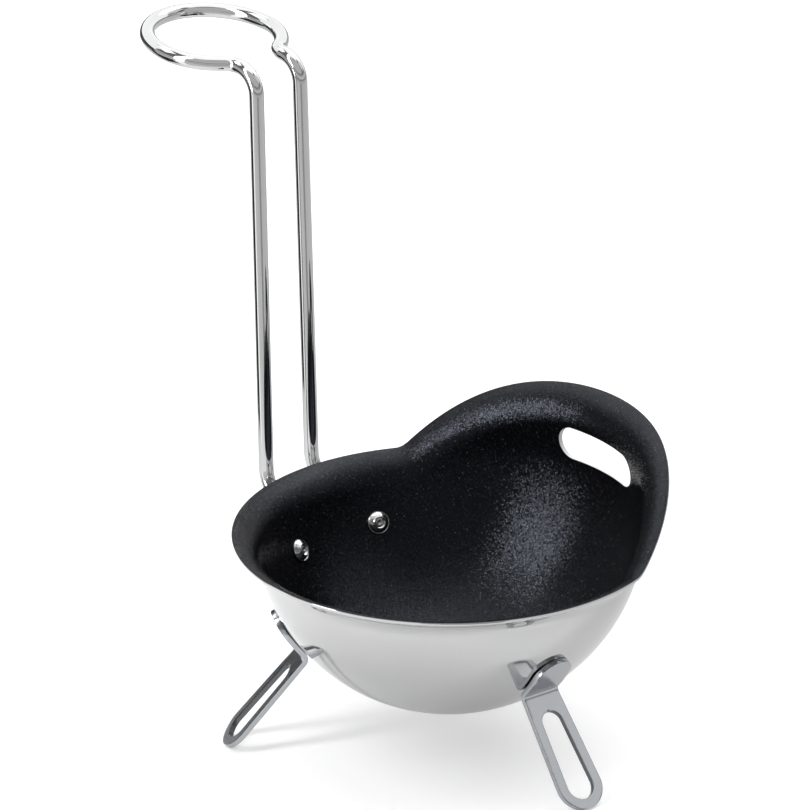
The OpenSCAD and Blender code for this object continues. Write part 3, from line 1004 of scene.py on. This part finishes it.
FOLD_CENTRE, FOOT_START, FOOT_L = fold_places()

# The strip's outline in its own plane: the foot's circle, the lean of the sides and the slot's circles
TOP_HALF = LEG_TOP_W / 2
FOOT_R = LEG_W / 2
FOOT_C = FOOT_L - FOOT_R
LEAN = math.asin(FOOT_R / math.hypot(FOOT_C, TOP_HALF)) - math.atan2(TOP_HALF, FOOT_C)
SLOT_TOP_R = (
    (LEG_SLOT_TOP * math.sin(LEAN) + TOP_HALF * math.cos(LEAN) - LEG_BORDER) / (1 - math.sin(LEAN))
)
SLOT_LOW_R = FOOT_R - LEG_BORDER


def leg_point(s):
    """Middle surface at the distance s from the fold: negative up the tab, positive down the leg."""
    if s < 0:
        a = -LEG_FOLD * DEG - s / TAB_MID_R
        return TAB_MID_R * math.cos(a), CUP_Z + TAB_MID_R * math.sin(a)
    if s < FOLD_L:
        a = math.pi - LEG_FOLD * DEG + s / FOLD_MID_R
        return FOLD_CENTRE.x + FOLD_MID_R * math.cos(a), FOLD_CENTRE.y + FOLD_MID_R * math.sin(a)
    rest = s - FOLD_L
    splay = LEG_SPLAY * DEG
    return FOOT_START.x + math.sin(splay) * rest, FOOT_START.y - math.cos(splay) * rest


def columns(low, high, count):
    """Distances crowded towards both ends, so that a round end keeps its shape."""
    return [low + (high - low) * (1 - math.cos(math.pi * i / count)) / 2 for i in range(count + 1)]


def between(low, high, count):
    """The distances that divide a stretch evenly, without its two ends."""
    return [low + (high - low) * i / count for i in range(1, count)]


def circle_half(x, centre, radius):
    return math.sqrt(max(radius ** 2 - (x - centre) ** 2, 0.0))


def outline_half(s):
    """Half the strip's width at the distance s."""
    if s <= -TAB_L + TOP_HALF:
        return circle_half(s, -TAB_L + TOP_HALF, TOP_HALF)
    x = s - FOLD_L
    if x <= 0:
        return TOP_HALF
    if x >= FOOT_C - FOOT_R * math.sin(LEAN):
        return circle_half(x, FOOT_C, FOOT_R)
    return TOP_HALF + x * math.tan(LEAN)


def slot_half(s):
    """Half the slot's width at the distance s, and 0 where there is no slot."""
    x = s - FOLD_L
    top_c = LEG_SLOT_TOP + SLOT_TOP_R
    side_from = top_c - SLOT_TOP_R * math.sin(LEAN)
    if x <= side_from:
        return circle_half(x, top_c, SLOT_TOP_R)
    if x >= FOOT_C - SLOT_LOW_R * math.sin(LEAN):
        return circle_half(x, FOOT_C, SLOT_LOW_R)
    return SLOT_TOP_R * math.cos(LEAN) + (x - side_from) * math.tan(LEAN)


def leg_blank():
    """One slotted strip, folded: columns across it, which part at the slot's edges."""
    tab_c = -TAB_L + TOP_HALF
    slot_from = FOLD_L + LEG_SLOT_TOP
    slot_to = FOLD_L + FOOT_C + SLOT_LOW_R
    tip = FOLD_L + FOOT_L
    stops = columns(-TAB_L, -TAB_L + 2 * TOP_HALF, END_SPANS)[:END_SPANS // 2 + 1]
    stops += between(tab_c, 0.0, TAB_SPANS) + [0.0]
    stops += between(0.0, FOLD_L, FOLD_SPANS) + [FOLD_L]
    stops += between(FOLD_L, slot_from, WEB_SPANS)
    stops += columns(slot_from, slot_from + 2 * SLOT_TOP_R, SLOT_END_SPANS)[:SLOT_END_SPANS // 2 + 1]
    stops += between(slot_from + SLOT_TOP_R, slot_to - SLOT_LOW_R, SLOT_SPANS)
    stops += columns(slot_to - 2 * SLOT_LOW_R, slot_to, SLOT_END_SPANS)[SLOT_END_SPANS // 2:]
    stops += columns(tip - 2 * FOOT_R, tip, END_SPANS)[END_SPANS // 2:]
    stops = sorted(set(round(s, 4) for s in stops))
    work = bmesh.new()
    wall = work.verts.layers.float.new("slot_wall")
    rows = []
    for s in stops:
        x, z = leg_point(s)
        outer = outline_half(s)
        inner = slot_half(s)
        row = []
        for side in (-1, 1):
            across = [side * (inner + (outer - inner) * i / SIDE_BANDS) for i in range(SIDE_BANDS + 1)]
            row.append([work.verts.new((x * MM, y * MM, z * MM)) for y in across])
            row[-1][0][wall] = float(slot_from - 1e-3 < s < slot_to + 1e-3)
        rows.append(row)
    for low, high in zip(rows, rows[1:]):
        for a, b in zip(low, high):
            for i in range(SIDE_BANDS):
                work.faces.new((a[i], a[i + 1], b[i + 1], b[i]))
    bmesh.ops.remove_doubles(work, verts=work.verts, dist=SAME_ON_LEG)
    bmesh.ops.recalc_face_normals(work, faces=work.faces)
    return object_from(work, "leg_blank")


def legs(tree):
    blank = leg_blank()
    thick = blank.modifiers.new("thickness", "SOLIDIFY")
    thick.thickness = LEG_T * MM
    thick.offset = 0.0
    thick.use_even_offset = True
    bevel = blank.modifiers.new("blanked_edge", "BEVEL")
    bevel.width = LEG_EDGE_ROUND * MM
    bevel.segments = 3
    bevel.limit_method = "ANGLE"
    bevel.angle_limit = 50 * DEG
    add_tree(blank, tree, MATERIALS["leg"], {
        "Count": LEG_COUNT,
        "First angle": LEG_FIRST * DEG,
        "Step angle": 360 / LEG_COUNT * DEG,
    })
    piece = bake(blank, "strip_legs", sharp=40.0)
    # The feet are flat where they rest
    for vertex in piece.data.vertices:
        vertex.co.z = max(vertex.co.z, 0.0)
    return piece


# The studio

def ray_kinds(tree):
    """Two fields: 1 for rays straight from the camera or through glass, and 1 for reflected rays."""
    rays = tree.nodes.new("ShaderNodeLightPath").outputs
    seen = larger(Field(tree, rays["Is Camera Ray"]), Field(tree, rays["Is Transmission Ray"]))
    return seen, Field(tree, rays["Is Glossy Ray"])


def towards(az, rise):
    """Direction from the object, with az counted from the photograph's right and rise above level."""
    a = (az - CAMERA_TURN) * DEG
    e = rise * DEG
    return Vector((math.cos(e) * math.cos(a), math.cos(e) * math.sin(a), math.sin(e)))


def studio_floor():
    """A wide pale floor that is white to the camera, with the object's shadow on it; in reflections it
    has a painted pool of light near the cup and is painted dimmer beyond.
    """
    work = bmesh.new()
    bmesh.ops.create_grid(work, x_segments=1, y_segments=1, size=FLOOR_HALF)
    floor = object_from(work, "studio_floor")
    material, tree, shader = new_material("pale_floor")
    shader.inputs["Roughness"].default_value = 0.9
    shader.inputs["Specular IOR Level"].default_value = 0.0
    seen, mirrored = ray_kinds(tree)
    across, up, _ = separate(tree, own_coordinates(tree))
    # Painted light: reflected rays see the floor's grey and glow dimmer outside a pool near the cup
    middle = towards(180, 0) * POOL_LEFT
    across = across - middle.x
    up = up - middle.y
    past_painted_pool = smooth((sqrt(across * across + up * up) - POOL_R) / POOL_EDGE)
    kept = 1.0 - mirrored * (1.0 - FAR_FLOOR_PAINTED_DIM) * past_painted_pool
    grey = kept * FLOOR_GREY
    tree.links.new(combine(tree, grey, grey, grey), shader.inputs["Base Color"])
    glow = tree.nodes.new("ShaderNodeEmission")
    glow.inputs["Color"].default_value = (1, 1, 1, 1)
    connect(tree, seen * FLOOR_GLOW + mirrored * kept * MIRRORED_GLOW, glow.inputs["Strength"])
    both = tree.nodes.new("ShaderNodeAddShader")
    tree.links.new(shader.outputs[0], both.inputs[0])
    tree.links.new(glow.outputs[0], both.inputs[1])
    tree.links.new(both.outputs[0], tree.nodes["Material Output"].inputs["Surface"])
    floor.data.materials.append(material)


def studio_world():
    """White behind the object, dimmer walls and ceiling in reflections, and soft light all round."""
    world = bpy.data.worlds.new("studio")
    bpy.context.scene.world = world
    world.use_nodes = True
    tree = world.node_tree
    soft = tree.nodes["Background"]
    soft.inputs["Color"].default_value = (1, 1, 1, 1)
    seen, mirrored = ray_kinds(tree)
    rise = separate(tree, tree.nodes.new("ShaderNodeTexCoord").outputs["Generated"])[2]
    ceiling = smooth((rise - CEILING_FROM) / CEILING_FADE)
    walls = WALL_LIGHT - (WALL_LIGHT - CEILING_LIGHT) * ceiling
    other = 1.0 - smaller(seen + mirrored, 1.0)
    connect(tree, seen + mirrored * walls + other * ROOM_LIGHT, soft.inputs["Strength"])


def soft_box(name, az, rise, width, height, radiance):
    """A rectangular lamp that faces the cup; radiance is how bright its face is."""
    lamp = bpy.data.lights.new(name, "AREA")
    lamp.shape = "RECTANGLE"
    lamp.size = width
    lamp.size_y = height
    lamp.energy = radiance * math.pi * width * height
    obj = bpy.data.objects.new(name, lamp)
    bpy.context.scene.collection.objects.link(obj)
    direction = towards(az, rise)
    obj.location = Vector(LAMP_AIM) + direction * LAMP_FAR
    obj.rotation_euler = direction.to_track_quat("Z", "Y").to_euler()


def card(name, centre, first_az, last_az, far, low, high, radiance):
    """A curved card that stands round a point, seen only in reflections: a flag or a reflector."""
    work = bmesh.new()
    rows = []
    for i in range(CARD_SPANS + 1):
        direction = towards(first_az + (last_az - first_az) * i / CARD_SPANS, 0)
        foot = Vector((*centre, 0)) * MM + direction * far
        rows.append([work.verts.new((foot.x, foot.y, z)) for z in (low, high)])
    for a, b in zip(rows, rows[1:]):
        work.faces.new((a[0], b[0], b[1], a[1]))
    panel = object_from(work, name)
    material, tree, _ = new_material(name)
    glow = tree.nodes.new("ShaderNodeEmission")
    glow.inputs["Strength"].default_value = radiance
    tree.links.new(glow.outputs[0], tree.nodes["Material Output"].inputs["Surface"])
    panel.data.materials.append(material)
    panel.visible_camera = False
    panel.visible_diffuse = False
    panel.visible_shadow = False


def studio_camera():
    """The photograph's camera: far off, with a long lens, turned so that the lip falls where it does."""
    a = CAMERA_TURN * DEG
    e = CAMERA_RISE * DEG
    back = Vector((-math.cos(e) * math.sin(a), -math.cos(e) * math.cos(a), math.sin(e)))
    focal_px = PX_PER_MM * CAMERA_FAR
    camera = bpy.data.cameras.new("photo_camera")
    camera.sensor_width = SENSOR_W
    camera.lens = focal_px * SENSOR_W / FRAME_PX
    camera.clip_start = 0.1
    camera.clip_end = 50.0
    obj = bpy.data.objects.new("photo_camera", camera)
    bpy.context.scene.collection.objects.link(obj)
    obj.location = Vector((0, 0, RIM_H * MM)) + back * CAMERA_FAR * MM
    across = LIP_MIDDLE_PX[0] - FRAME_PX / 2
    down = LIP_MIDDLE_PX[1] - FRAME_PX / 2
    seen = Vector((across, -down, -focal_px)).normalized()
    swing = seen.rotation_difference(Vector((0, 0, -1)))
    obj.rotation_euler = (back.to_track_quat("Z", "Y") @ swing).to_euler()
    bpy.context.scene.camera = obj


def finished(piece, slot, *nodes):
    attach(piece, "root")
    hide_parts(*nodes)


cup = cup_tree()
around = around_tree()
hole_tools = [hole_cutter("hole_left", 1), hole_cutter("hole_right", -1)]
cup_tools = [slot_cutter()] + hole_tools
half_t = SHEET_T / 2 * MM

steel_cup = cup_shell("pressed_steel_cup", cup, MATERIALS["steel"], cup_tools, {
    "Outer offset": half_t,
    "Inner offset": -half_t,
    "Edge round": STEEL_EDGE_ROUND * MM,
})
lining = cup_shell("charcoal_lining", cup, MATERIALS["coating"], cup_tools, {
    "Outer offset": -half_t,
    "Inner offset": -half_t - COAT_T * MM,
    "Edge back": COAT_EDGE_BACK * MM,
    "Edge round": COAT_EDGE_ROUND * MM,
})
handle = wire_handle(hole_tools)
rivets = rivet_set(rivet_body(), "domed_rivets", MATERIALS["rivet"], around)
pins = rivet_set(rivet_pin(), "rivet_pin_ends", MATERIALS["pin"], around)
strips = legs(around)

for tool in cup_tools:
    bpy.data.objects.remove(tool)

finished(steel_cup, "polished_steel", "bowl")
finished(lining, "nonstick_coating", "nonstick_lining")
finished(handle, "chrome_wire", "wire_handle")
finished(rivets, "rivet_steel", "rivet_left", "rivet_right")
finished(pins, "pin_steel", "rivet_pin_left", "rivet_pin_right")
finished(strips, "leg_steel", "leg_front", "leg_left", "leg_right")

bpy.context.scene.view_settings.view_transform = "Standard"
studio_floor()
studio_world()
studio_camera()
for lamp in LAMPS:
    soft_box(*lamp)
for panel in CARDS:
    card(*panel)
